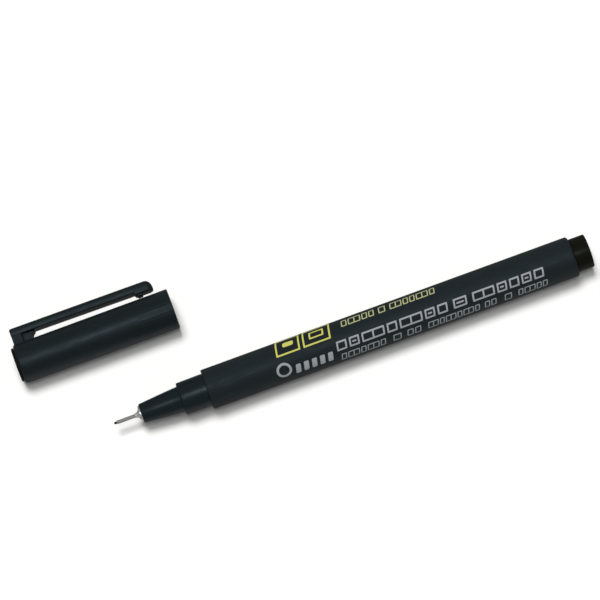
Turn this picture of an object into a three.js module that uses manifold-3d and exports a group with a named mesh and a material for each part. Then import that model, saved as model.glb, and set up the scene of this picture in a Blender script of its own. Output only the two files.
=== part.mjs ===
// A fine-line felt tip marker, with its cap off and lying beside it.
//
// Frame: millimetres. +X runs from the nib to the tail of the pen, +Y points
// sideways from the pen to the cap and +Z is up. The origin is on the table,
// under the middle of the whole object.
//
// Every round piece is turned from a half outline of [station, radius] corners.
// Pen stations count from the nib's point, and cap stations from the cap's
// closed end, both along +X.

import * as THREE from 'three';
import { mergeVertices } from 'three/addons/utils/BufferGeometryUtils.js';
import Module from 'manifold-3d';

// ---------------------------------------------------------------- dimensions

const BARREL_RADIUS = 4.95;
const BARREL_BORE = 4.0;
const BARREL_FRONT = 23.7;
const BARREL_REAR = 117.5;

// The front section: a nose cone, the seat that the cap slides on to, and a
// spigot inside the barrel.
const NOSE_FRONT = 6.9;
const NOSE_RADIUS_FRONT = 2.36;
const NOSE_BULGE = [[11.2, 2.74], [14.05, 2.98]];
const NOSE_RADIUS_REAR = 3.18;
const SEAT_FRONT = 17.0;
const SEAT_RADIUS_FRONT = 4.0;
const SEAT_RADIUS_REAR = 4.07;
const SPIGOT_RADIUS = 3.92;
const SPIGOT_BORE = 3.0;
const SPIGOT_REAR = 31.2;
const FEED_CHAMBER_FRONT = 27.0;

// The metal point: a thin tube held by a flared collar. The flare's corners
// are [distance behind the collar's front, radius].
const NEEDLE_RADIUS = 0.41;
const NEEDLE_BORE = 0.31;
const NEEDLE_FRONT = 0.6;
const NEEDLE_REAR = 12.4;
const COLLAR_FRONT = 5.35;
const COLLAR_FLARE = [[0, 0.56], [0.45, 0.72], [0.85, 1.15], [1.15, 1.75], [1.25, 2.0]];
const COLLAR_RADIUS = 2.0;
const COLLAR_SHANK_RADIUS = 1.5;
const COLLAR_SHANK_REAR = 11.0;
const COLLAR_BORE = 0.46;

// The ink path: nib, feed wick, and the wrapped fibre core.
const NIB_RADIUS = 0.25;
const NIB_REAR = 14.2;
const WICK_RADIUS = 1.1;
const WICK_FRONT = 14.4;
const WICK_REAR = 37.0;
const CORE_RADIUS = 3.3;
const CORE_FRONT = 31.4;
const CORE_REAR = 107.4;
const CORE_SOCKET_RADIUS = 1.25;
const CORE_SOCKET_REAR = 37.4;
const FILM_BORE = 3.4;
const FILM_RADIUS = 3.55;

// The rear plug, closed at the tail and open towards the ink core.
const PLUG_RADIUS = 4.12;
const PLUG_REAR = 121.6;
const PLUG_SKIRT_RADIUS = 3.92;
const PLUG_SKIRT_BORE = 3.1;
const PLUG_SKIRT_FRONT = 107.8;
const PLUG_WALL = 1.4;

// The cap, in stations from its closed end.
const CAP_LENGTH = 39.55;
const CAP_RADIUS_CLOSED = 4.88;
const CAP_RADIUS_MOUTH = 4.98;
const CAP_BORE = 4.2;
const CAP_END_BORE = 3.95;
const CAP_END_BORE_LENGTH = 6.0;
const CAP_PLUG_RADIUS = 4.22;
const CAP_PLUG_PROUD = 0.69;
const CAP_PLUG_STEM_RADIUS = 3.85;
const CAP_PLUG_STEM_BORE = 3.0;
const CAP_PLUG_STEM_LENGTH = 5.0;
const SEAL_RADIUS = 4.1;
const SEAL_BORE = 3.4;
const SEAL_LIP_BORE = 3.22;
const SEAL_CLOSED_END = 11.45;
const SEAL_FLOOR = 0.9;
const SEAL_MOUTH = 32.15;

// The pocket clip: an arm along the cap, and a leg that stands in a notch in
// the cap's closed end. A saddle on the cap fills the space behind the leg.
const CLIP_ROOT = 0.4;
const CLIP_TIP = 36.6;
const CLIP_WIDTH = 3.8;
const CLIP_INNER_ROOT = 6.7;
const CLIP_INNER_TIP = 6.5;
const CLIP_OUTER_ROOT = 8.64;
const CLIP_OUTER_TIP = 8.5;
const CLIP_TIP_ROUND = 1.5;
const CLIP_TIP_CORNER = 1.3;
const CLIP_PAD_START = 31.8;
const CLIP_PAD_RAMP = 0.2;
const CLIP_PAD_INNER = 5.97;
const CLIP_BEAD_STATION = 33.1;
const CLIP_BEAD_HALF = 1.1;
const CLIP_BEAD_INNER = 5.45;
const CLIP_BEAD_WIDTH = 2.4;
const CLIP_LEG_LENGTH = 2.2;
const CLIP_LEG_WIDTH = 2.6;
const CLIP_LEG_FOOT = 4.45;
const SADDLE_FRONT = 2.9;
const SADDLE_REAR = 5.6;
const SADDLE_TOP = 6.4;
const SADDLE_OVERHANG = 0.7;
const CLIP_CLEARANCE = 0.3;

// How the two halves lie on the table.
const CAP_MOUTH_AT = 22.85;
const CAP_OFFSET = 21.87;

const FACE_GAP = 0.1;
const EDGE_ROUND = 0.3;
const CORNER_STEPS = 3;
const ROUND_SIDES = 48;
const METAL_SIDES = 32;
const THIN_SIDES = 20;

// ----------------------------------------------------------------- materials

function plastic(color, roughness) {
  return new THREE.MeshStandardMaterial({ color, roughness, metalness: 0 });
}

const MATERIALS = {
  barrel: plastic(0x22282d, 0.5),
  cap: plastic(0x1d2224, 0.48),
  section: plastic(0x1c2427, 0.3),
  plug: plastic(0x151611, 0.28),
  seal: plastic(0x2a2f33, 0.45),
  steel: new THREE.MeshStandardMaterial({ color: 0xb4b6b8, roughness: 0.28, metalness: 1 }),
  nib: plastic(0x0c0c0e, 0.7),
  felt: plastic(0x2b2b33, 0.9),
  film: plastic(0xd9dde0, 0.25),
};

// ------------------------------------------------------------ solid geometry

/** Ease each corner [x, y, round] of an outline that has a round, with a short curve. */
function easedOutline(corners) {
  const points = corners.map(([x, y]) => new THREE.Vector2(x, y));
  return corners.flatMap(([, , round = 0], i) => {
    const corner = points[i];
    if (round === 0) {
      return [corner];
    }
    const before = points.at(i - 1);
    const after = points[(i + 1) % points.length];
    const start = corner.clone().add(before.clone().sub(corner).setLength(round));
    const end = corner.clone().add(after.clone().sub(corner).setLength(round));
    return new THREE.QuadraticBezierCurve(start, corner, end).getPoints(CORNER_STEPS);
  });
}

/** Merge shared corners, drop triangles with no area and turn every face outwards. */
function closedSolid(geometry) {
  geometry.deleteAttribute('normal');
  geometry.deleteAttribute('uv');
  const merged = mergeVertices(geometry, 1e-5);
  const position = merged.getAttribute('position');
  const corner = (i) => new THREE.Vector3().fromBufferAttribute(position, i);
  const triangles = [];
  let volume = 0;
  for (let i = 0; i < merged.index.count; i += 3) {
    const [a, b, c] = [0, 1, 2].map((k) => merged.index.getX(i + k));
    if (a !== b && b !== c && c !== a) {
      triangles.push([a, b, c]);
      volume += corner(a).dot(corner(b).cross(corner(c)));
    }
  }
  const outward = volume > 0 ? triangles : triangles.map(([a, b, c]) => [a, c, b]);
  merged.setIndex(outward.flat());
  return merged;
}

/** Turn an outline of [station, radius, round] corners about the X axis. */
function turned(corners, sides = ROUND_SIDES) {
  const outline = easedOutline(corners).map(({ x, y }) => new THREE.Vector2(y, x));
  const onAxis = outline[0].x === 0 && outline.at(-1).x === 0;
  const profile = onAxis ? outline : [...outline, outline[0]];
  const geometry = new THREE.LatheGeometry(profile, sides);
  geometry.rotateZ(-Math.PI / 2);
  return closedSolid(geometry);
}

/** Extrude an outline of [station, reach, round] corners to a width, centred on Z = 0. */
function slab(corners, width) {
  const shape = new THREE.Shape(easedOutline(corners));
  const geometry = new THREE.ExtrudeGeometry(shape, { depth: width, bevelEnabled: false });
  geometry.translate(0, 0, -width / 2);
  return closedSolid(geometry);
}

/** A block between two corners. */
function block(low, high) {
  const size = high.map((value, k) => value - low[k]);
  const geometry = new THREE.BoxGeometry(...size);
  geometry.translate(...high.map((value, k) => (value + low[k]) / 2));
  return closedSolid(geometry);
}

const wasm = await Module();
wasm.setup();

function toManifold(geometry) {
  const mesh = new wasm.Mesh({
    numProp: 3,
    vertProperties: new Float32Array(geometry.getAttribute('position').array),
    triVerts: new Uint32Array(geometry.index.array),
  });
  return new wasm.Manifold(mesh);
}

function toGeometry(manifold) {
  const mesh = manifold.getMesh();
  const geometry = new THREE.BufferGeometry();
  geometry.setAttribute('position', new THREE.BufferAttribute(mesh.vertProperties, 3));
  geometry.setIndex(new THREE.BufferAttribute(mesh.triVerts, 1));
  return geometry;
}

function joined(first, ...others) {
  return toGeometry(others.reduce((sum, part) => sum.add(toManifold(part)), toManifold(first)));
}

function shared(first, second) {
  return toGeometry(toManifold(first).intersect(toManifold(second)));
}

function cut(body, ...tools) {
  return toGeometry(tools.reduce((rest, tool) => rest.subtract(toManifold(tool)), toManifold(body)));
}

function namedMesh(name, geometry, material) {
  geometry.computeVertexNormals();
  const mesh = new THREE.Mesh(geometry, material);
  mesh.name = name;
  return mesh;
}

// ------------------------------------------------------------------- the pen

function makeBarrel() {
  return turned([
    [BARREL_FRONT, BARREL_BORE],
    [BARREL_FRONT, BARREL_RADIUS, EDGE_ROUND],
    [BARREL_REAR, BARREL_RADIUS, EDGE_ROUND],
    [BARREL_REAR, BARREL_BORE],
  ]);
}

function makeFrontSection() {
  const shankBore = COLLAR_SHANK_RADIUS + 0.05;
  const wickBore = WICK_RADIUS + 0.15;
  const shankStop = COLLAR_SHANK_REAR + 0.2;
  const needleStop = NEEDLE_REAR + 0.3;
  return turned([
    [NOSE_FRONT, shankBore],
    [NOSE_FRONT, NOSE_RADIUS_FRONT, 0.35],
    ...NOSE_BULGE,
    [SEAT_FRONT, NOSE_RADIUS_REAR],
    [SEAT_FRONT, SEAT_RADIUS_FRONT, 0.5],
    [BARREL_FRONT - FACE_GAP, SEAT_RADIUS_REAR],
    [BARREL_FRONT - FACE_GAP, SPIGOT_RADIUS],
    [SPIGOT_REAR, SPIGOT_RADIUS],
    [SPIGOT_REAR, SPIGOT_BORE],
    [FEED_CHAMBER_FRONT, SPIGOT_BORE],
    [FEED_CHAMBER_FRONT, wickBore],
    [needleStop, wickBore],
    [shankStop, shankBore],
  ]);
}

function makeRearPlug() {
  return turned([
    [PLUG_REAR, 0],
    [PLUG_REAR, PLUG_RADIUS, 0.45],
    [BARREL_REAR + FACE_GAP, PLUG_RADIUS],
    [BARREL_REAR + FACE_GAP, PLUG_SKIRT_RADIUS],
    [PLUG_SKIRT_FRONT, PLUG_SKIRT_RADIUS, EDGE_ROUND],
    [PLUG_SKIRT_FRONT, PLUG_SKIRT_BORE],
    [PLUG_REAR - PLUG_WALL, PLUG_SKIRT_BORE],
    [PLUG_REAR - PLUG_WALL, 0],
  ]);
}

function makeTipCollar() {
  const flangeRear = NOSE_FRONT - FACE_GAP;
  return turned([
    [COLLAR_FRONT, COLLAR_BORE],
    ...COLLAR_FLARE.map(([distance, radius]) => [COLLAR_FRONT + distance, radius]),
    [flangeRear, COLLAR_RADIUS],
    [flangeRear, COLLAR_SHANK_RADIUS],
    [COLLAR_SHANK_REAR, COLLAR_SHANK_RADIUS],
    [COLLAR_SHANK_REAR, COLLAR_BORE],
  ], METAL_SIDES);
}

function makeNeedleTube() {
  return turned([
    [NEEDLE_FRONT, NEEDLE_BORE],
    [NEEDLE_FRONT, NEEDLE_RADIUS, 0.06],
    [NEEDLE_REAR, NEEDLE_RADIUS],
    [NEEDLE_REAR, NEEDLE_BORE],
  ], THIN_SIDES);
}

function makeNib() {
  return turned([
    [0, 0],
    [0, NIB_RADIUS, 0.2],
    [NIB_REAR, NIB_RADIUS],
    [NIB_REAR, 0],
  ], THIN_SIDES);
}

function makeFeedWick() {
  return turned([
    [WICK_FRONT, 0],
    [WICK_FRONT, WICK_RADIUS, EDGE_ROUND],
    [WICK_REAR, WICK_RADIUS, EDGE_ROUND],
    [WICK_REAR, 0],
  ], THIN_SIDES);
}

function makeReservoirCore() {
  return turned([
    [CORE_SOCKET_REAR, 0],
    [CORE_SOCKET_REAR, CORE_SOCKET_RADIUS],
    [CORE_FRONT, CORE_SOCKET_RADIUS],
    [CORE_FRONT, CORE_RADIUS],
    [CORE_REAR, CORE_RADIUS],
    [CORE_REAR, 0],
  ], METAL_SIDES);
}

function makeReservoirFilm() {
  return turned([
    [CORE_FRONT, FILM_BORE],
    [CORE_FRONT, FILM_RADIUS],
    [CORE_REAR, FILM_RADIUS],
    [CORE_REAR, FILM_BORE],
  ], METAL_SIDES);
}

function makePen() {
  const pen = new THREE.Group();
  pen.add(
    namedMesh('barrel', makeBarrel(), MATERIALS.barrel),
    namedMesh('rear_plug', makeRearPlug(), MATERIALS.plug),
    namedMesh('front_section', makeFrontSection(), MATERIALS.section),
    namedMesh('tip_collar', makeTipCollar(), MATERIALS.steel),
    namedMesh('needle_tube', makeNeedleTube(), MATERIALS.steel),
    namedMesh('nib', makeNib(), MATERIALS.nib),
    namedMesh('feed_wick', makeFeedWick(), MATERIALS.felt),
    namedMesh('reservoir_core', makeReservoirCore(), MATERIALS.felt),
    namedMesh('reservoir_film', makeReservoirFilm(), MATERIALS.film),
  );
  return pen;
}

// ------------------------------------------------------------------- the cap

function makeCapShell() {
  const tube = turned([
    [0, CAP_END_BORE],
    [0, CAP_RADIUS_CLOSED, EDGE_ROUND],
    [CAP_LENGTH, CAP_RADIUS_MOUTH, EDGE_ROUND],
    [CAP_LENGTH, CAP_BORE],
    [CAP_END_BORE_LENGTH, CAP_BORE],
    [CAP_END_BORE_LENGTH, CAP_END_BORE],
  ]);
  const saddle = slab([
    [SADDLE_FRONT, CAP_BORE + 0.2],
    [SADDLE_REAR, CAP_BORE + 0.2],
    [SADDLE_REAR, SADDLE_TOP - SADDLE_OVERHANG],
    [SADDLE_REAR + SADDLE_OVERHANG, SADDLE_TOP],
    [SADDLE_FRONT, SADDLE_TOP, 0.2],
  ], CLIP_LEG_WIDTH);
  const notchHalf = CLIP_LEG_WIDTH / 2 + CLIP_CLEARANCE;
  const notch = block([-1, CAP_END_BORE - 1, -notchHalf], [SADDLE_FRONT, CAP_RADIUS_MOUTH, notchHalf]);
  return cut(joined(tube, saddle), notch);
}

function makeCapEndPlug() {
  return turned([
    [-CAP_PLUG_PROUD, 0],
    [-CAP_PLUG_PROUD, CAP_PLUG_RADIUS, EDGE_ROUND],
    [-FACE_GAP, CAP_PLUG_RADIUS],
    [-FACE_GAP, CAP_PLUG_STEM_RADIUS],
    [CAP_PLUG_STEM_LENGTH, CAP_PLUG_STEM_RADIUS, EDGE_ROUND],
    [CAP_PLUG_STEM_LENGTH, CAP_PLUG_STEM_BORE],
    [0.4, CAP_PLUG_STEM_BORE],
    [0.4, 0],
  ]);
}

function makeInnerSeal() {
  const floorTop = SEAL_CLOSED_END + SEAL_FLOOR;
  return turned([
    [SEAL_CLOSED_END, 0],
    [SEAL_CLOSED_END, SEAL_RADIUS, EDGE_ROUND],
    [SEAL_MOUTH, SEAL_RADIUS],
    [SEAL_MOUTH, SEAL_BORE],
    [SEAL_MOUTH - 0.5, SEAL_LIP_BORE],
    [SEAL_MOUTH - 1.2, SEAL_BORE],
    [floorTop, SEAL_BORE],
    [floorTop, 0],
  ]);
}

function makePocketClip() {
  const clipHalf = CLIP_WIDTH / 2;
  const plan = slab([
    [CLIP_ROOT, -clipHalf, EDGE_ROUND],
    [CLIP_TIP, -clipHalf, CLIP_TIP_CORNER],
    [CLIP_TIP, clipHalf, CLIP_TIP_CORNER],
    [CLIP_ROOT, clipHalf, EDGE_ROUND],
  ], 4 * CAP_RADIUS_MOUTH);
  plan.rotateX(Math.PI / 2);
  const side = slab([
    [CLIP_ROOT, CLIP_INNER_ROOT],
    [CLIP_PAD_START, CLIP_INNER_TIP, 0.2],
    [CLIP_PAD_START + CLIP_PAD_RAMP, CLIP_PAD_INNER, 0.2],
    [CLIP_TIP, CLIP_PAD_INNER, 0.6],
    [CLIP_TIP, CLIP_OUTER_TIP, CLIP_TIP_ROUND],
    [CLIP_ROOT, CLIP_OUTER_ROOT, EDGE_ROUND],
  ], CLIP_WIDTH);
  const bead = slab([
    [CLIP_BEAD_STATION - CLIP_BEAD_HALF, CLIP_INNER_TIP],
    [CLIP_BEAD_STATION, CLIP_BEAD_INNER, 0.7],
    [CLIP_BEAD_STATION + CLIP_BEAD_HALF, CLIP_INNER_TIP],
  ], CLIP_BEAD_WIDTH);
  const arm = shared(side, plan);
  const legHalf = CLIP_LEG_WIDTH / 2;
  const legTop = (CLIP_INNER_ROOT + CLIP_OUTER_ROOT) / 2;
  const leg = block(
    [CLIP_ROOT, CLIP_LEG_FOOT, -legHalf],
    [CLIP_ROOT + CLIP_LEG_LENGTH, legTop, legHalf],
  );
  return joined(arm, bead, leg);
}

function makeCap() {
  const cap = new THREE.Group();
  cap.add(
    namedMesh('cap_shell', makeCapShell(), MATERIALS.cap),
    namedMesh('cap_end_plug', makeCapEndPlug(), MATERIALS.cap),
    namedMesh('cap_inner_seal', makeInnerSeal(), MATERIALS.seal),
    namedMesh('pocket_clip', makePocketClip(), MATERIALS.cap),
  );
  return cap;
}

// ---------------------------------------------------------- the whole marker

const capClosedEnd = CAP_MOUTH_AT - CAP_LENGTH;
const middleX = (capClosedEnd - CAP_PLUG_PROUD + PLUG_REAR) / 2;
const middleY = (CAP_OFFSET + CLIP_OUTER_ROOT - BARREL_RADIUS) / 2;

const pen = makePen();
pen.position.set(-middleX, -middleY, BARREL_RADIUS);

const cap = makeCap();
cap.position.set(capClosedEnd - middleX, CAP_OFFSET - middleY, CAP_RADIUS_MOUTH);

const marker = new THREE.Group();
marker.add(pen, cap);

export default marker;
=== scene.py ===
"""Looks of a fine-line felt tip marker that lies uncapped beside its cap.

The scene is in metres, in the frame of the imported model: +X runs from the nib to the
tail, +Y from the pen to the cap, +Z up. Stations, reaches and rounds are in mm. Stations
along the pen count from the nib's point, and stations along the cap from the cap's closed
end, both along +X. A reach or a radius is a distance from the axis of the pen or the cap.
"""

import math

import bmesh
import bpy
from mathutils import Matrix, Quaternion, Vector


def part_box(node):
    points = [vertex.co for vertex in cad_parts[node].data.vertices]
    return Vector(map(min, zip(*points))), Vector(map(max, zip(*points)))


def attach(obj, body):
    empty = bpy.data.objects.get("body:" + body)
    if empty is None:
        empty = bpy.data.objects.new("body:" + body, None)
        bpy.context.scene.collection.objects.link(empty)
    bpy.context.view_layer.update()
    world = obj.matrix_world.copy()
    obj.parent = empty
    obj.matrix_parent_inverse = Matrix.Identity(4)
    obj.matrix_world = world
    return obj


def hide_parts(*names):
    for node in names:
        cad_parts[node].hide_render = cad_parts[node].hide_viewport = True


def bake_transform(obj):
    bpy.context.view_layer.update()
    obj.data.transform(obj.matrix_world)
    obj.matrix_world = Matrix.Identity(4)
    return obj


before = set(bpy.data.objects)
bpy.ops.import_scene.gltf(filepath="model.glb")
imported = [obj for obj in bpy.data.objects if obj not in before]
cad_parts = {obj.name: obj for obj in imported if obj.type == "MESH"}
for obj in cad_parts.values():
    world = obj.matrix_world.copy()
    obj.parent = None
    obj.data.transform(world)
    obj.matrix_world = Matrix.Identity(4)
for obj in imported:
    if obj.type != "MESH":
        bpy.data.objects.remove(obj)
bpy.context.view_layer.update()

MM = 0.001


# ------------------------------------------------------------ places from the frame

def centre_line(node):
    """The y and z of a turned node's axis."""
    low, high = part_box(node)
    return (low.y + high.y) / 2, (low.z + high.z) / 2


NIB_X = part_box("nib")[0].x
CAP_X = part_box("cap_shell")[0].x
PEN_ORIGIN = (NIB_X, *centre_line("barrel"))
CAP_ORIGIN = (CAP_X, *centre_line("cap_end_plug"))


def span(node, origin):
    """First station, last station and radius of a turned node, in mm."""
    low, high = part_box(node)
    return (low.x - origin[0]) / MM, (high.x - origin[0]) / MM, (high.z - low.z) / 2 / MM


# ------------------------------------------------------------------- mesh building

RIBS = 40
SIDES_PER_RIB = 10
FINE_SIDES = RIBS * SIDES_PER_RIB
PLAIN_SIDES = 160
SMALL_SIDES = 96
SHARP_ANGLE = math.radians(32)
WELD_DISTANCE = 1e-7

# Steps in the arc of a round corner, in the arc of a slab's long edge and across a crowned face,
# and the share of the face that the last of these cover.
ARC_STEPS = 6
EDGE_STEPS = 4
CROWN_STEPS = 8
CROWN_REACH = 0.8

# A bar's edge rounds off at most its thickness and its half width divided by these.
THICKNESS_PER_EDGE = 2.2
HALF_WIDTH_PER_EDGE = 1.5

# An inset moves a sharp corner by the amount divided by at least this. Stations closer together
# than the least step count as one.
LEAST_MITRE = 0.5
LEAST_STEP = 0.01


def eased_outline(corners):
    """Points of a closed outline of (station, reach[, round]) corners in mm, rounds made arcs."""
    points = [Vector(corner[:2]) for corner in corners]
    outline = []
    for i, corner in enumerate(corners):
        point = points[i]
        if len(corner) < 3:
            outline.append(point)
            continue
        to_before = (points[i - 1] - point).normalized()
        to_after = (points[(i + 1) % len(points)] - point).normalized()
        half = to_before.angle(to_after) / 2
        radius = corner[2]
        reach = radius / math.tan(half)
        middle = point + (to_before + to_after).normalized() * (radius / math.sin(half))
        start = point + to_before * reach - middle
        end = point + to_after * reach - middle
        turn = start.angle_signed(end)
        for k in range(ARC_STEPS + 1):
            angle = -turn * k / ARC_STEPS
            outline.append(middle + Vector((
                start.x * math.cos(angle) - start.y * math.sin(angle),
                start.x * math.sin(angle) + start.y * math.cos(angle),
            )))
    return outline


def shade(mesh):
    """Smooth shading that keeps the real edges sharp."""
    mesh.shade_smooth()
    mesh.set_sharp_from_angle(angle=SHARP_ANGLE)


def mesh_object(name, vertices, faces, weld=True):
    """An object whose faces all point outwards."""
    mesh = bpy.data.meshes.new(name)
    mesh.from_pydata(vertices, [], faces)
    work = bmesh.new()
    work.from_mesh(mesh)
    if weld:
        bmesh.ops.remove_doubles(work, verts=work.verts, dist=WELD_DISTANCE)
    bmesh.ops.recalc_face_normals(work, faces=work.faces)
    work.to_mesh(mesh)
    work.free()
    shade(mesh)
    piece = bpy.data.objects.new(name, mesh)
    bpy.context.scene.collection.objects.link(piece)
    return piece


def tube_faces(rings, sides, closed):
    """Quads between rings of vertices; closed also joins the last ring to the first."""
    faces = []
    for i in range(rings if closed else rings - 1):
        j = (i + 1) % rings
        for k in range(sides):
            n = (k + 1) % sides
            faces.append((i * sides + k, i * sides + n, j * sides + n, j * sides + k))
    return faces


def turned(name, outline, origin, sides=PLAIN_SIDES, depth_at=None):
    """A solid turned about the X axis from a closed outline of (station, radius) points in mm.

    depth_at(station, radius, angle) says how deep a groove is there, in mm.
    """
    x0, y0, z0 = origin
    vertices = []
    for station, radius in outline:
        for k in range(sides):
            angle = 2 * math.pi * k / sides
            reach = radius - (depth_at(station, radius, angle) if depth_at else 0)
            vertices.append((
                x0 + station * MM,
                y0 + reach * MM * math.sin(angle),
                z0 + reach * MM * math.cos(angle),
            ))
    return mesh_object(name, vertices, tube_faces(len(outline), sides, True))


def inset(outline, amount):
    """The outline moved inwards by an amount, corner by corner."""
    moved = []
    area = sum(outline[i - 1].cross(outline[i]) for i in range(len(outline)))
    for i, point in enumerate(outline):
        before = (point - outline[i - 1]).normalized()
        after = (outline[(i + 1) % len(outline)] - point).normalized()
        along = (before + after).normalized()
        inwards = Vector((-along.y, along.x)) * (1 if area > 0 else -1)
        moved.append(point + inwards * (amount / max(LEAST_MITRE, along.dot(before))))
    return moved


def pressed(name, outline, half_width, bevel):
    """A slab with the closed outline (station, reach) in mm, as wide as 2 * half_width along Z.

    Its long edges are rounded off by the bevel.
    """
    x0, y0, z0 = CAP_ORIGIN
    levels = [(half_width - bevel * (1 - math.sin(a)), bevel * (1 - math.cos(a)))
              for a in between(math.pi / 2, 0, EDGE_STEPS)]
    levels += [(-height, amount) for height, amount in reversed(levels)]
    vertices = []
    for height, amount in levels:
        for point in inset(outline, amount) if amount else outline:
            vertices.append((x0 + point.x * MM, y0 + point.y * MM, z0 + height * MM))
    sides = len(outline)
    faces = tube_faces(len(levels), sides, False)
    faces.append(tuple(range(sides)))
    faces.append(tuple(range(len(vertices) - sides, len(vertices))))
    return mesh_object(name, vertices, faces)


def reaches(outline, station):
    """Lowest and highest reach of a closed outline at a station."""
    found = []
    for i, point in enumerate(outline):
        before = outline[i - 1]
        if min(before.x, point.x) <= station <= max(before.x, point.x):
            run = point.x - before.x
            share = (station - before.x) / (run or 1)
            found += [before.y + share * (point.y - before.y)] if run else [before.y, point.y]
    return min(found), max(found)


def crowned_bar(name, outline, half_width, corner, crown, tip_round):
    """A bar with the outline (station, reach) in mm whose wide faces bulge by the crown.

    In plan its far end is rounded by tip_round; the corner is the radius of its long edges.
    """
    x0, y0, z0 = CAP_ORIGIN
    tip = max(point.x for point in outline)
    stations = []
    for station in sorted(point.x for point in outline):
        if not stations or station - stations[-1] > LEAST_STEP:
            stations.append(station)
    vertices = []
    for station in stations:
        low, high = reaches(outline, station)
        over = max(0, station - (tip - tip_round))
        half = half_width - tip_round + math.sqrt(max(0, tip_round ** 2 - over ** 2))
        edge = min(corner, (high - low) / THICKNESS_PER_EDGE, half / HALF_WIDTH_PER_EDGE)
        middle = (low + high) / 2
        spread = (high - low) / 2 - edge
        side = [(high - edge + edge * math.cos(a), half - crown - edge + edge * math.sin(a))
                for a in between(0, math.pi / 2, EDGE_STEPS)]
        side += [(middle + spread * t, half - crown * t * t)
                 for t in between(CROWN_REACH, -CROWN_REACH, CROWN_STEPS)]
        side += [(low + edge - edge * math.sin(a), half - crown - edge + edge * math.cos(a))
                 for a in between(0, math.pi / 2, EDGE_STEPS)]
        ring = side + [(reach, -height) for reach, height in reversed(side)]
        vertices += [(x0 + station * MM, y0 + reach * MM, z0 + height * MM)
                     for reach, height in ring]
    sides = len(ring)
    faces = tube_faces(len(stations), sides, False)
    faces.append(tuple(range(sides)))
    faces.append(tuple(range(len(vertices) - sides, len(vertices))))
    return mesh_object(name, vertices, faces)


def combine(piece, other, operation):
    """Join another object to a piece (UNION) or take it away from it (DIFFERENCE)."""
    modifier = piece.modifiers.new("combine", "BOOLEAN")
    modifier.operation = operation
    modifier.solver = "MANIFOLD"
    modifier.object = other
    bpy.context.view_layer.update()
    evaluated = piece.evaluated_get(bpy.context.evaluated_depsgraph_get())
    mesh = bpy.data.meshes.new_from_object(evaluated)
    piece.modifiers.clear()
    piece.data = mesh
    shade(mesh)
    bpy.data.objects.remove(other)


def even_shading(piece):
    """Let the large flat faces keep their own normals, and the rounded edges bend between them."""
    normals = piece.modifiers.new("even_shading", "WEIGHTED_NORMAL")
    normals.keep_sharp = True


def between(first, last, count):
    """Evenly spaced values from first to last."""
    return [first + (last - first) * k / count for k in range(count + 1)]


def ease(value, low, high):
    """0 below low, 1 above high and a smooth step between."""
    t = min(1, max(0, (value - low) / (high - low)))
    return t * t * (3 - 2 * t)


# ----------------------------------------------------------------------- materials

# Noise lies mostly between these two values. A stretch below 1 draws it out along that axis.
NOISE_RANGE = (0.3, 0.7)

# Moulded plastic: its mottle, its rubbed streaks and its uneven gloss.
MOTTLE_SCALE = 220
RUBBED_SCALE = 2600
RUBBED_STRETCH = (0.06, 1, 1)
RUBBED_RANGE = (0.6, 0.8)
RUBBED_COVER = 0.6
RUBBED_PALER = 2.4
GLOSS_SCALE = 900
GLOSS_STRETCH = (0.35, 1, 1)

# Turned steel: its rings round the axis, and how far they change its roughness.
RING_SCALE = 9000
RING_STRETCH = (1, 0.04, 0.04)
RING_DARKER = 0.86
RING_GLOSS = (-0.05, 0.08)
RING_HEIGHT = 0.000004

# Printed ink: its cover, and the tooth of its surface.
COVER_SCALE = 5000
TOOTH_SCALE = 12000
TOOTH_HEIGHT = 0.000004

# Fibre strands and creases of the film.
STRAND_SCALE = 4000
STRAND_STRETCH = (0.02, 1, 1)
STRAND_HEIGHT = 0.00002
CREASE_SCALE = 1500
CREASE_STRETCH = (0.1, 1, 1)
CREASE_HEIGHT = 0.00001


def new_material(name):
    """A new material, its node tree and its shader."""
    material = bpy.data.materials.new(name)
    material.use_nodes = True
    tree = material.node_tree
    shader = tree.nodes["Principled BSDF"]
    return material, tree, shader


def noise(tree, scale, detail=3, stretch=(1, 1, 1)):
    """Noise in the object's own space, stretched along an axis."""
    place = tree.nodes.new("ShaderNodeTexCoord")
    mapping = tree.nodes.new("ShaderNodeMapping")
    mapping.inputs["Scale"].default_value = stretch
    texture = tree.nodes.new("ShaderNodeTexNoise")
    texture.inputs["Scale"].default_value = scale
    texture.inputs["Detail"].default_value = detail
    tree.links.new(place.outputs["Object"], mapping.inputs["Vector"])
    tree.links.new(mapping.outputs["Vector"], texture.inputs["Vector"])
    return texture.outputs["Fac"]


def remapped(tree, value, low, high, to_low, to_high):
    """A value from low to high turned into one from to_low to to_high."""
    node = tree.nodes.new("ShaderNodeMapRange")
    node.inputs["From Min"].default_value = low
    node.inputs["From Max"].default_value = high
    node.inputs["To Min"].default_value = to_low
    node.inputs["To Max"].default_value = to_high
    tree.links.new(value, node.inputs["Value"])
    return node.outputs["Result"]


def mixed_colour(tree, factor, first, second):
    """A mix of two colours, each a tuple or another node's output."""
    node = tree.nodes.new("ShaderNodeMix")
    node.data_type = "RGBA"
    for name, colour in (("A", first), ("B", second)):
        if isinstance(colour, tuple):
            node.inputs[name].default_value = (*colour, 1)
        else:
            tree.links.new(colour, node.inputs[name])
    tree.links.new(factor, node.inputs["Factor"])
    return node.outputs["Result"]


def bumps(tree, shader, height, distance):
    """Relief on the surface, as high as the distance in metres."""
    node = tree.nodes.new("ShaderNodeBump")
    node.inputs["Distance"].default_value = distance
    tree.links.new(height, node.inputs["Height"])
    tree.links.new(node.outputs["Normal"], shader.inputs["Normal"])


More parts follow.
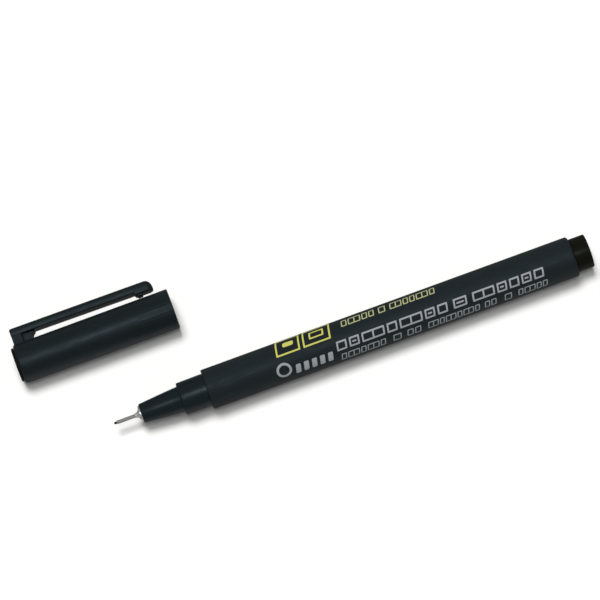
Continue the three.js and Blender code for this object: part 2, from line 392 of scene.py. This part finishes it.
def plastic(name, dark, light, roughness, spread, specular, sheen, grain, grain_height):
    """Moulded plastic: mottled colour, uneven gloss, faint rubbed streaks and a moulding grain."""
    material, tree, shader = new_material(name)
    mottle = noise(tree, MOTTLE_SCALE, 4)
    streaks = noise(tree, RUBBED_SCALE, 3, RUBBED_STRETCH)
    rubbed = remapped(tree, streaks, *RUBBED_RANGE, 0, RUBBED_COVER)
    pale = tuple(RUBBED_PALER * c for c in light)
    colour = mixed_colour(tree, mottle, dark, light)
    tree.links.new(mixed_colour(tree, rubbed, colour, pale), shader.inputs["Base Color"])
    gloss = noise(tree, GLOSS_SCALE, 5, GLOSS_STRETCH)
    rough = remapped(tree, gloss, *NOISE_RANGE, roughness - spread, roughness + spread)
    tree.links.new(rough, shader.inputs["Roughness"])
    shader.inputs["Specular IOR Level"].default_value = specular
    shader.inputs["Specular Tint"].default_value = (*sheen, 1)
    bumps(tree, shader, noise(tree, grain, 2), grain_height)
    return material


def metal(name, colour, metallic, roughness):
    """Turned steel: fine rings around the axis and a little smearing in the gloss."""
    material, tree, shader = new_material(name)
    shader.inputs["Metallic"].default_value = metallic
    rings = noise(tree, RING_SCALE, 2, RING_STRETCH)
    dark = tuple(c * RING_DARKER for c in colour)
    tree.links.new(mixed_colour(tree, rings, dark, colour), shader.inputs["Base Color"])
    smoothest, roughest = (roughness + change for change in RING_GLOSS)
    rough = remapped(tree, rings, *NOISE_RANGE, smoothest, roughest)
    tree.links.new(rough, shader.inputs["Roughness"])
    bumps(tree, shader, rings, RING_HEIGHT)
    return material


def ink_print(name, dark, light):
    """Screen-printed ink: slightly uneven cover over a fine tooth."""
    material, tree, shader = new_material(name)
    cover = noise(tree, COVER_SCALE)
    tree.links.new(mixed_colour(tree, cover, dark, light), shader.inputs["Base Color"])
    shader.inputs["Roughness"].default_value = 0.5
    shader.inputs["Specular IOR Level"].default_value = 0.3
    bumps(tree, shader, noise(tree, TOOTH_SCALE, 2), TOOTH_HEIGHT)
    return material


def fibre(name, dark, light):
    """Bundled fibres along the axis."""
    material, tree, shader = new_material(name)
    strands = noise(tree, STRAND_SCALE, stretch=STRAND_STRETCH)
    tree.links.new(mixed_colour(tree, strands, dark, light), shader.inputs["Base Color"])
    shader.inputs["Roughness"].default_value = 0.85
    bumps(tree, shader, strands, STRAND_HEIGHT)
    return material


def film(name, dark, light):
    """Thin wrapping film with fine creases along it."""
    material, tree, shader = new_material(name)
    creases = noise(tree, CREASE_SCALE, stretch=CREASE_STRETCH)
    tree.links.new(mixed_colour(tree, creases, dark, light), shader.inputs["Base Color"])
    shader.inputs["Roughness"].default_value = 0.25
    bumps(tree, shader, creases, CREASE_HEIGHT)
    return material


COOL_SHEEN = (0.8, 0.97, 1.0)
BLUE_SHEEN = (0.66, 0.86, 1.0)

BARREL_PLASTIC = plastic(
    "barrel_plastic", dark=(0.0088, 0.0126, 0.0146), light=(0.0106, 0.0148, 0.017),
    roughness=0.52, spread=0.05, specular=0.2, sheen=COOL_SHEEN, grain=6000, grain_height=0.000005,
)
CAP_PLASTIC = plastic(
    "cap_plastic", dark=(0.0054, 0.0082, 0.0088), light=(0.0066, 0.0098, 0.0104),
    roughness=0.45, spread=0.05, specular=0.33, sheen=BLUE_SHEEN, grain=6000, grain_height=0.000004,
)
SECTION_PLASTIC = plastic(
    "section_plastic", dark=(0.0056, 0.0096, 0.0116), light=(0.0068, 0.0114, 0.0136),
    roughness=0.33, spread=0.04, specular=0.22, sheen=COOL_SHEEN, grain=3000, grain_height=0.000002,
)
PLUG_PLASTIC = plastic(
    "plug_plastic", dark=(0.0052, 0.0054, 0.0034), light=(0.0064, 0.0066, 0.0044),
    roughness=0.32, spread=0.04, specular=0.06, sheen=COOL_SHEEN, grain=3000, grain_height=0.000002,
)
END_PLASTIC = plastic(
    "cap_end_plastic", dark=(0.0052, 0.0054, 0.0034), light=(0.0064, 0.0066, 0.0044),
    roughness=0.55, spread=0.05, specular=0.1, sheen=COOL_SHEEN, grain=3000, grain_height=0.000002,
)
SEAL_PLASTIC = plastic(
    "seal_plastic", dark=(0.016, 0.019, 0.022), light=(0.022, 0.026, 0.03),
    roughness=0.45, spread=0.05, specular=0.2, sheen=COOL_SHEEN, grain=3000, grain_height=0.000003,
)
SATIN_STEEL = metal("satin_steel", (0.79, 0.79, 0.78), metallic=0.8, roughness=0.36)
NEEDLE_STEEL = metal("needle_steel", (0.41, 0.41, 0.4), metallic=0.78, roughness=0.5)
NIB_FIBRE = fibre("nib_fibre", dark=(0.004, 0.004, 0.005), light=(0.009, 0.009, 0.011))
INK_FELT = fibre("ink_felt", dark=(0.012, 0.012, 0.016), light=(0.05, 0.05, 0.06))
CLEAR_FILM = film("clear_film", dark=(0.6, 0.62, 0.63), light=(0.72, 0.74, 0.75))
YELLOW_INK = ink_print("yellow_ink", dark=(0.45, 0.44, 0.09), light=(0.53, 0.52, 0.12))
PALE_YELLOW_INK = ink_print("pale_yellow_ink", dark=(0.34, 0.36, 0.18), light=(0.4, 0.42, 0.22))
GREY_INK = ink_print("grey_ink", dark=(0.23, 0.265, 0.28), light=(0.3, 0.34, 0.355))
SILVER_INK = ink_print("silver_ink", dark=(0.25, 0.27, 0.29), light=(0.33, 0.35, 0.37))


def finished(piece, material, body=None, replaces=()):
    """Give a piece its material, its body and the nodes it stands for."""
    piece.data.materials.clear()
    piece.data.materials.append(material)
    if body:
        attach(piece, body)
    if replaces:
        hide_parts(*replaces)


# -------------------------------------------------------------------- pen, outside

BARREL_RADIUS = span("barrel", PEN_ORIGIN)[2]
NOSE_FRONT = span("front_section", PEN_ORIGIN)[0]

# Radius of the barrel's bore, and of the parts of the front section and rear plug inside it.
BARREL_BORE = 4.0
SKIRT_RADIUS = 3.92

# First and last station of the ribs, which fade out beyond them, and the radius from which on
# the outline is ribbed, so that the bores stay smooth.
BARREL_RIBS = (24.6, 32.0)
CAP_RIBS = (31.1, 38.5)
BARREL_RIBS_FROM = BARREL_RADIUS - 0.35
CAP_RIBS_FROM = 4.6
RIB_DEPTH = 0.022
RIB_FADE = 0.5

# Gap between the barrel's tail end and the shoulder of its plug.
PLUG_GAP = 0.1

# The needle's sleeve starts a little behind the CAD's and is a little thicker than it.
SLEEVE_SETBACK = 0.1
SLEEVE_THICKER = 0.03
SLEEVE_BORE = 0.31

# The nib is a little thicker from its point to a step just inside the sleeve.
NIB_THICKER = 0.04
NIB_STEP = (0.9, 1.0)


def rib_depth(zone, least_radius):
    """Depth of a groove between the ribs of a zone (first, last station), in mm."""
    first, last = zone

    def depth_at(station, radius, angle):
        if radius < least_radius:
            return 0
        begun = ease(station, first - RIB_FADE, first)
        ended = ease(station, last, last + RIB_FADE)
        return RIB_DEPTH * begun * (1 - ended) * (0.5 - 0.5 * math.cos(RIBS * angle))

    return depth_at


def make_barrel():
    front, rear, radius = span("barrel", PEN_ORIGIN)
    bore_round, front_round, rear_round = 0.12, 0.3, 0.5
    close_rings = between(front + 0.5, 33.0, 22)
    wide_rings = between(34.0, rear - 1.0, 12)
    outline = [(front, BARREL_BORE, bore_round), (front, radius, front_round)]
    outline += [(station, radius) for station in close_rings + wide_rings]
    outline += [(rear, radius, rear_round), (rear, BARREL_BORE, bore_round)]
    ribs = rib_depth(BARREL_RIBS, BARREL_RIBS_FROM)
    barrel = turned("barrel_tube", eased_outline(outline), PEN_ORIGIN, FINE_SIDES, ribs)
    finished(barrel, BARREL_PLASTIC, "pen", ["barrel"])


def make_front_section():
    front, rear, seat = span("front_section", PEN_ORIGIN)
    seat_front, seat_rear, seat_taper = 17.0, 23.6, 0.07
    collar_socket, collar_rear = 1.55, 11.2
    wick_bore, wick_front = 1.25, 12.7
    core_bore, core_front = 3.0, 27.0
    nose = [(front, 2.36, 0.32), (11.2, 2.74, 8), (14.05, 2.98, 20), (seat_front, 3.18, 0.12)]
    outline = [
        (front, collar_socket),
        *nose,
        (seat_front, seat - seat_taper, 0.42),
        (seat_rear, seat),
        (seat_rear, SKIRT_RADIUS),
        (rear, SKIRT_RADIUS, 0.2),
        (rear, core_bore),
        (core_front, core_bore),
        (core_front, wick_bore),
        (wick_front, wick_bore),
        (collar_rear, collar_socket),
    ]
    section = turned("nose_section", eased_outline(outline), PEN_ORIGIN)
    finished(section, SECTION_PLASTIC, "pen", ["front_section"])


def make_rear_plug():
    front, rear, radius = span("rear_plug", PEN_ORIGIN)
    shoulder = span("barrel", PEN_ORIGIN)[1] + PLUG_GAP
    dimple_depth, dimple_floor, dimple_rim = 0.15, 0.55, 0.6
    bore, end_wall = 3.1, 1.4
    outline = [
        (rear - dimple_depth, 0),
        (rear - dimple_depth, dimple_floor, 0.1),
        (rear, dimple_rim, 0.1),
        (rear, radius, 0.25),
        (shoulder, radius, 0.1),
        (shoulder, SKIRT_RADIUS),
        (front, SKIRT_RADIUS, 0.3),
        (front, bore),
        (rear - end_wall, bore),
        (rear - end_wall, 0),
    ]
    plug = turned("tail_plug", eased_outline(outline), PEN_ORIGIN)
    finished(plug, PLUG_PLASTIC, "pen", ["rear_plug"])


def make_tip_collar():
    front, rear, flange = span("tip_collar", PEN_ORIGIN)
    socket, neck, stem = 0.46, 0.62, 1.5
    straight, bend = 0.25, 0.95
    outline = [(front, socket), (front, neck - 0.02, 0.06)]
    outline += [(front + straight + bend * math.sin(a), neck + (flange - neck) * (1 - math.cos(a)))
                for a in between(0, math.pi / 2, 12)]
    outline += [(NOSE_FRONT, flange, 0.08), (NOSE_FRONT, stem), (rear, stem), (rear, socket)]
    collar = turned("tip_collar_turned", eased_outline(outline), PEN_ORIGIN, SMALL_SIDES)
    finished(collar, SATIN_STEEL, "pen", ["tip_collar"])


def make_needle_sleeve():
    front, rear, radius = span("needle_tube", PEN_ORIGIN)
    front += SLEEVE_SETBACK
    radius += SLEEVE_THICKER
    outline = [
        (front, SLEEVE_BORE, 0.03), (front, radius, 0.05), (rear, radius), (rear, SLEEVE_BORE),
    ]
    sleeve = turned("needle_sleeve", eased_outline(outline), PEN_ORIGIN, SMALL_SIDES)
    finished(sleeve, NEEDLE_STEEL, "pen", ["needle_tube"])


def make_nib():
    front, rear, radius = span("nib", PEN_ORIGIN)
    point = radius + NIB_THICKER
    step_front, step_rear = NIB_STEP
    outline = [
        (front, 0), (front, point, 0.16), (step_front, point), (step_rear, radius),
        (rear, radius), (rear, 0),
    ]
    nib = turned("nib_rod", eased_outline(outline), PEN_ORIGIN, SMALL_SIDES)
    finished(nib, NIB_FIBRE, "pen", ["nib"])


# ------------------------------------------------------- marks printed on the barrel

# Angles count in degrees from the barrel's top towards the cap, stations and strokes in mm.
DEGREES_PER_MM = math.degrees(1 / BARREL_RADIUS)
INK_PROUD = 0.01
INK_SUNK = 0.03
INK_STEP = 2.0
INK_CORNER = 0.12
CORNER_STEP = 1.0
THINNEST_INK = 0.01
HOOP_STEPS = 20
SLANT = 0.16

# The gap between two marks as a share of their pitch, and the strokes' widths from a block's
# outer side to the dash in it.
MARK_GAP = 0.2
DASH_INSET = 1.8

# Lowest angle, highest angle and stroke of each line of print.
YELLOW_BLOCKS = (2.4, 65, 0.42)
PALE_YELLOW_LINE = (23.5, 48, 0.27)
SILVER_LINE = (-40, -12.9, 0.42)
GREY_LINE = (-76.8, -52.2, 0.26)

# The words of each line: marks, first station and pitch.
PALE_YELLOW_WORDS = [("omoo", 59.2, 1.75), ("o", 68.7, 2.2), ("moomo", 71.6, 1.69)]
SILVER_WORDS = [("oxmomxo", 56.3, 3.22), ("x", 86.1, 4.3), ("mxoxo", 91.0, 3.14)]
GREY_WORDS = [
    ("omomo", 56.7, 1.66), ("o", 69.9, 2.6), ("oo", 73.5, 1.95), ("momomo", 78.8, 1.5),
    ("oo", 93.3, 1.65), ("o", 98.4, 2.3), ("omoo", 101.9, 1.56),
]


def bar(left, right, low, high, corner=INK_CORNER):
    """Rows (angle, left, right) of a slanted bar whose corners are cut off."""
    count = max(2, math.ceil((high - low) / INK_STEP))
    angles = sorted({*between(low, high, count), low + CORNER_STEP, high - CORNER_STEP})
    middle = (low + high) / 2
    rows = []
    for angle in angles:
        edge = min(angle - low, high - angle) / DEGREES_PER_MM
        cut = max(0, corner - edge)
        shift = SLANT * (angle - middle) / DEGREES_PER_MM
        rows.append((angle, left + shift + cut, right + shift - cut))
    return [rows]


def hollow(left, right, low, high, stroke):
    """The strips of a slanted hollow block."""
    rim = stroke * DEGREES_PER_MM
    slide = SLANT * ((high - low) / 2 / DEGREES_PER_MM - stroke / 2)
    return [
        *bar(left + slide, right + slide, high - rim, high),
        *bar(left - slide, right - slide, low, low + rim),
        *bar(left, left + stroke, low + rim, high - rim, 0),
        *bar(right - stroke, right, low + rim, high - rim, 0),
    ]


def hoop(centre, middle, radius, stroke):
    """The two half rings of a round emblem, centred on a station and an angle."""
    halves = []
    for side in (-1, 1):
        rows = []
        for turn in between(-math.pi / 2, math.pi / 2, HOOP_STEPS):
            height = radius * math.sin(turn)
            outer = radius * math.cos(turn)
            inner = math.sqrt(max(0, (radius - stroke) ** 2 - height ** 2))
            outer = max(outer, inner + THINNEST_INK)
            edges = sorted((centre + side * inner, centre + side * outer))
            rows.append((middle + height * DEGREES_PER_MM, *edges))
        halves.append(rows)
    return halves


def word_of_marks(marks, first, pitch, low, high, stroke):
    """A row of slanted blocks: "o" is hollow, "x" has a dash inside and "m" is double."""
    strips = []
    rim = stroke * DEGREES_PER_MM
    middle = (low + high) / 2
    left = first
    for mark in marks:
        cells = 2 if mark == "m" else 1
        right = left + (cells - MARK_GAP) * pitch
        centre = (left + right) / 2
        strips += hollow(left, right, low, high, stroke)
        if mark == "m":
            strips += bar(centre - stroke / 2, centre + stroke / 2, low + rim, high - rim, 0)
        if mark == "x":
            inset_by = DASH_INSET * stroke
            strips += bar(left + inset_by, right - inset_by, middle - rim / 2, middle + rim / 2)
        left += cells * pitch
    return strips


def line_of_words(words, low, high, stroke):
    """A line of words, each (marks, first station, pitch)."""
    strips = []
    for marks, first, pitch in words:
        strips += word_of_marks(marks, first, pitch, low, high, stroke)
    return strips


def printed(name, strips, material):
    """One piece of ink from strips of rows, each a thin closed patch wrapped on the barrel."""
    x0, y0, z0 = PEN_ORIGIN
    inner = BARREL_RADIUS - INK_SUNK
    outer = BARREL_RADIUS + INK_PROUD
    vertices = []
    faces = []
    for rows in strips:
        base = len(vertices)
        for degrees, left, right in rows:
            a = math.radians(degrees)
            for station, reach in ((left, inner), (left, outer), (right, outer), (right, inner)):
                vertices.append((
                    x0 + station * MM,
                    y0 + reach * MM * math.sin(a),
                    z0 + reach * MM * math.cos(a),
                ))
        strip = tube_faces(len(rows), 4, False)
        last = 4 * (len(rows) - 1)
        strip += [(0, 1, 2, 3), (last, last + 1, last + 2, last + 3)]
        faces += [tuple(base + k for k in face) for face in strip]
    piece = mesh_object(name, vertices, faces, weld=False)
    finished(piece, material, body="pen")


def make_print():
    yellow = hollow(42.3, 48.4, *YELLOW_BLOCKS) + bar(44.2, 46.9, 26, 43, 0.3)
    yellow += hollow(49.2, 56.2, *YELLOW_BLOCKS) + hollow(50.9, 54.6, 21, 47, 0.42)
    printed("print_yellow", yellow, YELLOW_INK)

    pale_yellow = line_of_words(PALE_YELLOW_WORDS, *PALE_YELLOW_LINE)
    printed("print_pale_yellow", pale_yellow, PALE_YELLOW_INK)

    emblem = hoop(centre=42.6, middle=-38.5, radius=1.9, stroke=0.6)
    bar_low, bar_high, bar_width, bar_corner = -62.5, -33.7, 1.25, 0.2
    bars = []
    for left in between(45.4, 53.6, 4):
        bars += bar(left, left + bar_width, bar_low, bar_high, bar_corner)
    silver = emblem + bars + line_of_words(SILVER_WORDS, *SILVER_LINE)
    printed("print_silver", silver, SILVER_INK)

    printed("print_grey", line_of_words(GREY_WORDS, *GREY_LINE), GREY_INK)


# ---------------------------------------------------------------------------- cap

# The cap's radius grows by the flare from its closed end to its mouth. Its bore widens at a step.
CAP_FLARE = 0.1
CAP_BORE = 4.2
CAP_END_BORE = 3.95
CAP_BORE_STEP = 6.0

# The clip's leg stands in a notch in the closed end, and a saddle fills the space behind the leg.
NOTCH_LENGTH = 3.1
NOTCH_FLOOR = 2.9
NOTCH_CEILING = 5.6
NOTCH_CLEARANCE = 0.3
LEG_HALF_WIDTH = 1.7
LEG_FOOT = 4.45
LEG_GAP = 0.06
SADDLE_TOP = 6.56

# Reach of the arm's outer face at its root and tip, of its inner face behind the saddle and in
# front of the pad, and of the pad itself, which the bead stands on.
CLIP_OUTER = (8.64, 8.5)
CLIP_INNER = (6.7, 6.5)
CLIP_PAD = 5.97
CLIP_HALF_WIDTH = 1.9


def make_cap_shell():
    rear = span("cap_shell", CAP_ORIGIN)[1]
    mouth = CAP_ORIGIN[2] / MM
    closed = mouth - CAP_FLARE
    wide_rings = between(1.0, 30.0, 14)
    close_rings = between(30.5, rear - 0.5, 26)
    outline = [(0, CAP_END_BORE, 0.1), (0, closed, 0.5)]
    outline += [(station, closed + CAP_FLARE * station / rear)
                for station in wide_rings + close_rings]
    outline += [
        (rear, mouth, 0.3), (rear, CAP_BORE, 0.2),
        (CAP_BORE_STEP, CAP_BORE), (CAP_BORE_STEP, CAP_END_BORE),
    ]
    ribs = rib_depth(CAP_RIBS, CAP_RIBS_FROM)
    shell = turned("cap_body", eased_outline(outline), CAP_ORIGIN, FINE_SIDES, ribs)

    saddle_rear, overhang_rear, overhang_foot = 5.55, 6.45, 5.7
    saddle = pressed("saddle", eased_outline([
        (NOTCH_LENGTH, LEG_FOOT), (NOTCH_LENGTH, SADDLE_TOP, 0.12),
        (overhang_rear, SADDLE_TOP, 0.05), (saddle_rear, overhang_foot, 0.6),
        (saddle_rear, LEG_FOOT),
    ]), LEG_HALF_WIDTH, bevel=0.25)
    combine(shell, saddle, "UNION")

    notch_front = -1.0
    notch = pressed("notch", eased_outline([
        (notch_front, NOTCH_FLOOR), (NOTCH_LENGTH, NOTCH_FLOOR),
        (NOTCH_LENGTH, NOTCH_CEILING), (notch_front, NOTCH_CEILING),
    ]), LEG_HALF_WIDTH + NOTCH_CLEARANCE, bevel=0.1)
    combine(shell, notch, "DIFFERENCE")
    even_shading(shell)
    finished(shell, CAP_PLASTIC, "cap", ["cap_shell"])


def make_cap_plug():
    low, high, radius = span("cap_end_plug", CAP_ORIGIN)
    shoulder, skirt, bore, end_wall = -0.1, 3.85, 3.0, 0.4
    outline = [
        (low, 0), (low, radius, 0.3), (shoulder, radius), (shoulder, skirt),
        (high, skirt, 0.2), (high, bore), (end_wall, bore), (end_wall, 0),
    ]
    plug = turned("cap_top_plug", eased_outline(outline), CAP_ORIGIN)
    finished(plug, END_PLASTIC, "cap", ["cap_end_plug"])


def make_cap_seal():
    low, high, radius = span("cap_inner_seal", CAP_ORIGIN)
    bore, lip, end_wall = 3.4, 3.22, 0.9
    outline = [
        (low, 0), (low, radius, 0.3), (high, radius, 0.1), (high, bore, 0.15),
        (high - 0.5, lip, 0.2), (high - 1.2, bore), (low + end_wall, bore), (low + end_wall, 0),
    ]
    seal = turned("cap_seal", eased_outline(outline), CAP_ORIGIN)
    finished(seal, SEAL_PLASTIC, "cap", ["cap_inner_seal"])


def make_clip():
    root, tip = span("pocket_clip", CAP_ORIGIN)[:2]
    pad_step, pad_front = tip - 4.75, tip - 4.55
    arm = crowned_bar("clip_arm", eased_outline([
        (root, SADDLE_TOP + 0.1, 0.15), (6.5, CLIP_INNER[0], 0.5),
        (pad_step, CLIP_INNER[1], 0.15), (pad_front, CLIP_PAD, 0.15), (tip, CLIP_PAD, 0.45),
        (tip, CLIP_OUTER[1], 1.75), (root, CLIP_OUTER[0], 0.5),
    ]), CLIP_HALF_WIDTH, corner=0.25, crown=0.1, tip_round=1.3)

    bead_foot, bead_top = 7.2, 5.45
    bead = pressed("clip_bead", eased_outline([
        (tip - 4.72, bead_foot), (tip - 4.72, 6.2, 0.1), (tip - 4.0, bead_top, 0.4),
        (tip - 3.0, bead_top, 0.4), (tip - 2.45, 6.1, 0.2), (tip - 2.4, bead_foot),
    ]), half_width=1.25, bevel=0.3)
    combine(arm, bead, "UNION")

    leg_front, leg_rear, leg_head = root + 0.04, NOTCH_LENGTH - LEG_GAP, 7.6
    leg = pressed("clip_leg", eased_outline([
        (leg_front, LEG_FOOT, 0.2), (leg_rear, LEG_FOOT, 0.2), (leg_rear, leg_head),
        (leg_front, leg_head),
    ]), LEG_HALF_WIDTH, bevel=0.2)
    combine(arm, leg, "UNION")
    even_shading(arm)
    arm.name = "clip_moulding"
    arm.visible_shadow = False
    finished(arm, CAP_PLASTIC, replaces=["pocket_clip"])
    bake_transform(arm)


make_barrel()
make_front_section()
make_rear_plug()
make_tip_collar()
make_needle_sleeve()
make_nib()
make_print()
make_cap_shell()
make_cap_plug()
make_cap_seal()
make_clip()

# These three inside pieces keep the CAD's shape.
CARRIED_OVER = {"feed_wick": INK_FELT, "reservoir_core": INK_FELT, "reservoir_film": CLEAR_FILM}
for name, material in CARRIED_OVER.items():
    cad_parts[name].data.materials.clear()
    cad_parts[name].data.materials.append(material)


# ---------------------------------------------------------------- floor and light

FLOOR_HALF_SIZE = 6.0
FLOOR_DARK = (0.86, 0.86, 0.855)
FLOOR_LIGHT = (0.87, 0.87, 0.865)

# The world's strength all round and low in front. The front one holds up to the first value of
# each range (of a direction's Y and Z) and fades away up to the second.
ROOM_STRENGTH = 0.2
FRONT_STRENGTH = 0.65
FRONT_RANGE = (-0.75, -0.4)
BELOW_RANGE = (-0.25, 0.0)

# The camera's angles in degrees, its distance in metres, its lens and film width in mm, and its
# aim in mm: along the pen from the nib's point, and across from the pen towards the cap.
CAMERA_AZIMUTH = -7.87
CAMERA_ELEVATION = 75.2
CAMERA_ROLL = -12.42
CAMERA_DISTANCE = 1.2
CAMERA_LENS = 298.6
CAMERA_FILM = 36
CAMERA_AIM = (52.19, 13.0)


def make_floor():
    size = FLOOR_HALF_SIZE
    corners = [(-size, -size, 0), (size, -size, 0), (size, size, 0), (-size, size, 0)]
    floor = mesh_object("floor", corners, [(0, 1, 2, 3)])
    material, tree, shader = new_material("floor_paint")
    tree.links.new(mixed_colour(tree, noise(tree, 30), FLOOR_DARK, FLOOR_LIGHT),
                   shader.inputs["Base Color"])
    shader.inputs["Roughness"].default_value = 0.9
    shader.inputs["Specular IOR Level"].default_value = 0.0
    floor.data.materials.append(material)
    floor.visible_glossy = False


def aimed(obj, target, roll=0):
    """Turn a light or camera towards a target, and then by a roll in degrees about its own line."""
    direction = Vector(target) - obj.location
    turn = direction.to_track_quat("-Z", "Y") @ Quaternion((0, 0, 1), math.radians(roll))
    obj.rotation_euler = turn.to_euler()


def direction_from(azimuth, elevation):
    """Unit vector towards a viewpoint; azimuth 0 stands in front (-Y) and 90 at the tail (+X)."""
    a, e = math.radians(azimuth), math.radians(elevation)
    return Vector((math.sin(a) * math.cos(e), -math.cos(a) * math.cos(e), math.sin(e)))


def sky_light(name, azimuth, elevation, width, strength, colour, glossy):
    """A distant soft light whose width across the sky is given in degrees."""
    data = bpy.data.lights.new(name, "SUN")
    data.angle = math.radians(width)
    data.energy = strength
    data.color = colour
    light = bpy.data.objects.new(name, data)
    light.location = direction_from(azimuth, elevation) * 2
    aimed(light, (0, 0, 0))
    light.visible_glossy = glossy
    bpy.context.scene.collection.objects.link(light)


def make_world():
    """An even dim room, brighter below the horizon in front, where a pale floor shines back."""
    world = bpy.data.worlds.new("studio")
    world.use_nodes = True
    tree = world.node_tree
    place = tree.nodes.new("ShaderNodeTexCoord")
    direction = tree.nodes.new("ShaderNodeSeparateXYZ")
    tree.links.new(place.outputs["Generated"], direction.inputs["Vector"])
    in_front = remapped(tree, direction.outputs["Y"], *FRONT_RANGE, 1, 0)
    below = remapped(tree, direction.outputs["Z"], *BELOW_RANGE, 1, 0)
    both = tree.nodes.new("ShaderNodeMath")
    both.operation = "MULTIPLY"
    tree.links.new(in_front, both.inputs[0])
    tree.links.new(below, both.inputs[1])
    strength = remapped(tree, both.outputs["Value"], 0, 1, ROOM_STRENGTH, FRONT_STRENGTH)
    background = tree.nodes["Background"]
    background.inputs["Color"].default_value = (1, 1, 1, 1)
    tree.links.new(strength, background.inputs["Strength"])
    bpy.context.scene.world = world


def make_camera():
    x0, y0, z0 = PEN_ORIGIN
    along, across = CAMERA_AIM
    target = Vector((x0 + along * MM, y0 + across * MM, z0))
    data = bpy.data.cameras.new("camera")
    data.lens = CAMERA_LENS
    data.sensor_width = CAMERA_FILM
    data.clip_start = 0.05
    data.clip_end = 50
    camera = bpy.data.objects.new("camera", data)
    camera.location = target + direction_from(CAMERA_AZIMUTH, CAMERA_ELEVATION) * CAMERA_DISTANCE
    aimed(camera, target, CAMERA_ROLL)
    bpy.context.scene.collection.objects.link(camera)
    bpy.context.scene.camera = camera


make_floor()
sky_light("overhead", azimuth=187, elevation=73.2, width=22, strength=2.7,
          colour=(1.0, 0.995, 0.98), glossy=False)
sky_light("ridge", azimuth=0, elevation=86, width=18, strength=0.64,
          colour=(1.0, 1.0, 1.0), glossy=True)
make_world()
make_camera()
bpy.context.scene.view_settings.view_transform = "Standard"
